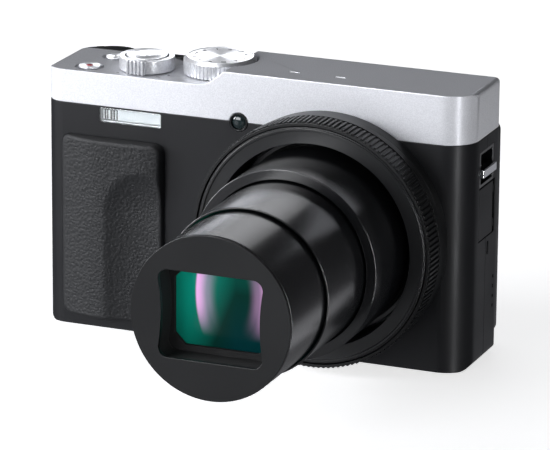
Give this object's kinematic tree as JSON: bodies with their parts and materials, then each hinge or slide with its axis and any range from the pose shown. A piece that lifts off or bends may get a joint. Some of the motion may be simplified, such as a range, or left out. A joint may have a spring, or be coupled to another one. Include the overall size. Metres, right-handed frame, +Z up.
{
  "type": "compact digital camera",
  "caption": "Compact travel-zoom digital camera with its telescoping lens run out, a silver top deck with dials and buttons, a textured grip and a tilting rear screen.",
  "frame": {"origin": "centre of the mouth of the tripod thread, on the flat base", "axes": "+X to the right as seen by the person being pictured, +Y from the lens towards the rear screen, +Z up"},
  "size_m": [0.1121, 0.1024, 0.0699],
  "materials": {
    "black_shell": "fine textured satin",
    "silver_top": "satin metallic paint",
    "black_trim": "semi-gloss",
    "grip_rubber": "moulded leather grain",
    "screw_black": "blackened",
    "steel": "satin",
    "lug_chrome": "polished",
    "clear_plastic": "clear",
    "reflector": "bright vacuum coating",
    "lamp_lens": "smoked",
    "lens_black": "gloss black",
    "ring_black": "black anodised",
    "matt_black": "flocked matt",
    "coated_glass": "multi-coated",
    "dial_metal": "turned",
    "key_plastic": "satin",
    "screen_frame": "satin",
    "screen_glass": "hard-coated",
    "eyepiece_glass": "coated",
    "board_green": "solder mask",
    "chassis_steel": "stamped",
    "bay_plastic": "moulded",
    "battery_wrap": "printed film left plain",
    "card_plastic": "satin",
    "motor_steel": "plated",
    "sensor_chip": "glossy cover"
  },
  "bodies": {
    "camera_body": {"front_cover": "black_shell", "rear_cover": "black_shell", "top_cover": "silver_top", "base_plate": "black_shell", "base_screws": "screw_black", "tripod_bush": "steel", "grip_pad": "grip_rubber", "thumb_rest": "grip_rubber", "flash_window": "clear_plastic", "flash_reflector": "reflector", "flash_tube": "clear_plastic", "flash_capacitor": "bay_plastic", "af_lamp_ring": "black_trim", "af_lamp_lens": "lamp_lens", "lug_plate": "black_trim", "strap_lug": "lug_chrome", "chassis": "chassis_steel", "battery_bay": "bay_plastic", "battery": "battery_wrap", "memory_card": "card_plastic", "main_board": "board_green", "top_board": "board_green", "usb_socket": "steel", "speaker": "motor_steel", "lens_collar": "ring_black", "face_ring": "ring_black", "lens_housing": "bay_plastic", "image_sensor": "sensor_chip", "sensor_board": "board_green", "zoom_motor": "motor_steel", "evf_housing": "bay_plastic", "eyepiece_frame": "black_trim", "eyepiece_lens": "eyepiece_glass", "lcd_hinge_pins": "steel", "battery_door_pin": "steel"},
    "control_ring": {"control_ring": "ring_black"},
    "cam_ring": {"cam_ring": "chassis_steel"},
    "rear_barrel": {"rear_barrel": "lens_black"},
    "middle_barrel": {"middle_barrel": "lens_black", "zoom_group": "coated_glass"},
    "front_barrel": {"front_barrel": "lens_black", "nose_plate": "ring_black", "lens_baffle": "matt_black", "front_element": "coated_glass"},
    "mode_dial": {"mode_dial": "dial_metal"},
    "zoom_lever": {"zoom_lever": "dial_metal"},
    "shutter_button": {"shutter_button": "dial_metal"},
    "video_button": {"video_button": "dial_metal"},
    "power_button": {"power_button": "dial_metal"},
    "rear_dial": {"rear_dial": "key_plastic"},
    "set_button": {"set_button": "key_plastic"},
    "play_button": {"play_button": "key_plastic"},
    "fn_button": {"fn_button": "key_plastic"},
    "trash_button": {"trash_button": "key_plastic"},
    "viewfinder_button": {"viewfinder_button": "key_plastic"},
    "screen": {"lcd_housing": "screen_frame", "lcd_glass": "screen_glass"},
    "battery_door": {"battery_door": "black_shell"},
    "battery_latch": {"battery_latch": "key_plastic"},
    "port_door": {"port_door": "black_shell"}
  },
  "joints": [
    {"name": "lens_reach", "type": "slide", "parent": "camera_body", "child": "rear_barrel", "axis": [0, 1, 0], "range_m": [0, 0.0175]},
    {"name": "middle_barrel_slide", "type": "slide", "parent": "rear_barrel", "child": "middle_barrel", "axis": [0, 1, 0], "range_m": [0, 0.02321]},
    {"name": "front_barrel_slide", "type": "slide", "parent": "middle_barrel", "child": "front_barrel", "axis": [0, 1, 0], "range_m": [0, 0.02051]},
    {"name": "cam_ring_turn", "type": "hinge", "parent": "camera_body", "child": "cam_ring", "pos_m": [0.0204, -0.005, 0.0323], "axis": [0, 1, 0], "range_deg": [0, 121]},
    {"name": "control_ring_turn", "type": "hinge", "parent": "camera_body", "child": "control_ring", "pos_m": [0.0204, -0.022, 0.0323], "axis": [0, -1, 0], "continuous": true},
    {"name": "mode_dial_turn", "type": "hinge", "parent": "camera_body", "child": "mode_dial", "pos_m": [-0.0137, -0.0017, 0.067], "axis": [0, 0, 1], "continuous": true},
    {"name": "zoom_lever_turn", "type": "hinge", "parent": "camera_body", "child": "zoom_lever", "pos_m": [-0.0317, -0.0053, 0.067], "axis": [0, 0, 1], "range_deg": [-18, 18], "stiffness_Nm_per_rad": 0.02},
    {"name": "shutter_press", "type": "slide", "parent": "camera_body", "child": "shutter_button", "axis": [0, 0, -1], "range_m": [0, 0.0008], "stiffness_N_per_m": 400, "springref_m": -0.0005},
    {"name": "video_press", "type": "slide", "parent": "camera_body", "child": "video_button", "axis": [0, 0, -1], "range_m": [0, 0.0003], "stiffness_N_per_m": 400, "springref_m": -0.0005},
    {"name": "power_press", "type": "slide", "parent": "camera_body", "child": "power_button", "axis": [0, 0, -1], "range_m": [0, 0.0003], "stiffness_N_per_m": 400, "springref_m": -0.0005},
    {"name": "rear_dial_turn", "type": "hinge", "parent": "camera_body", "child": "rear_dial", "pos_m": [-0.0386, 0.011, 0.026], "axis": [0, 1, 0], "continuous": true},
    {"name": "set_press", "type": "slide", "parent": "camera_body", "child": "set_button", "axis": [0, -1, 0], "range_m": [0, 0.0005], "stiffness_N_per_m": 400, "springref_m": -0.0005},
    {"name": "play_press", "type": "slide", "parent": "camera_body", "child": "play_button", "axis": [0, -1, 0], "range_m": [0, 0.0004], "stiffness_N_per_m": 400, "springref_m": -0.0005},
    {"name": "fn_press", "type": "slide", "parent": "camera_body", "child": "fn_button", "axis": [0, -1, 0], "range_m": [0, 0.0004], "stiffness_N_per_m": 400, "springref_m": -0.0005},
    {"name": "trash_press", "type": "slide", "parent": "camera_body", "child": "trash_button", "axis": [0, -1, 0], "range_m": [0, 0.0004], "stiffness_N_per_m": 400, "springref_m": -0.0005},
    {"name": "viewfinder_press", "type": "slide", "parent": "camera_body", "child": "viewfinder_button", "axis": [0, -1, 0], "range_m": [0, 0.0004], "stiffness_N_per_m": 400, "springref_m": -0.0005},
    {"name": "screen_tilt", "type": "hinge", "parent": "camera_body", "child": "screen", "pos_m": [0.016, 0.0126, 0.0581], "axis": [1, 0, 0], "range_deg": [0, 180]},
    {"name": "battery_door_swing", "type": "hinge", "parent": "camera_body", "child": "battery_door", "pos_m": [-0.051, -0.005, 0.0012], "axis": [0, 1, 0], "range_deg": [0, 95]},
    {"name": "battery_latch_slide", "type": "slide", "parent": "battery_door", "child": "battery_latch", "axis": [-1, 0, 0], "range_m": [0, 0.0022]},
    {"name": "port_door_swing", "type": "hinge", "parent": "camera_body", "child": "port_door", "pos_m": [0.055, 0.0045, 0.038], "axis": [0, 0, 1], "range_deg": [0, 100]}
  ],
  "couplings": [
    {"joint": "middle_barrel_slide", "follows": "lens_reach", "ratio": 1.3257},
    {"joint": "front_barrel_slide", "follows": "lens_reach", "ratio": 1.1714},
    {"joint": "cam_ring_turn", "follows": "lens_reach", "rad_per_m": 119.68}
  ]
}
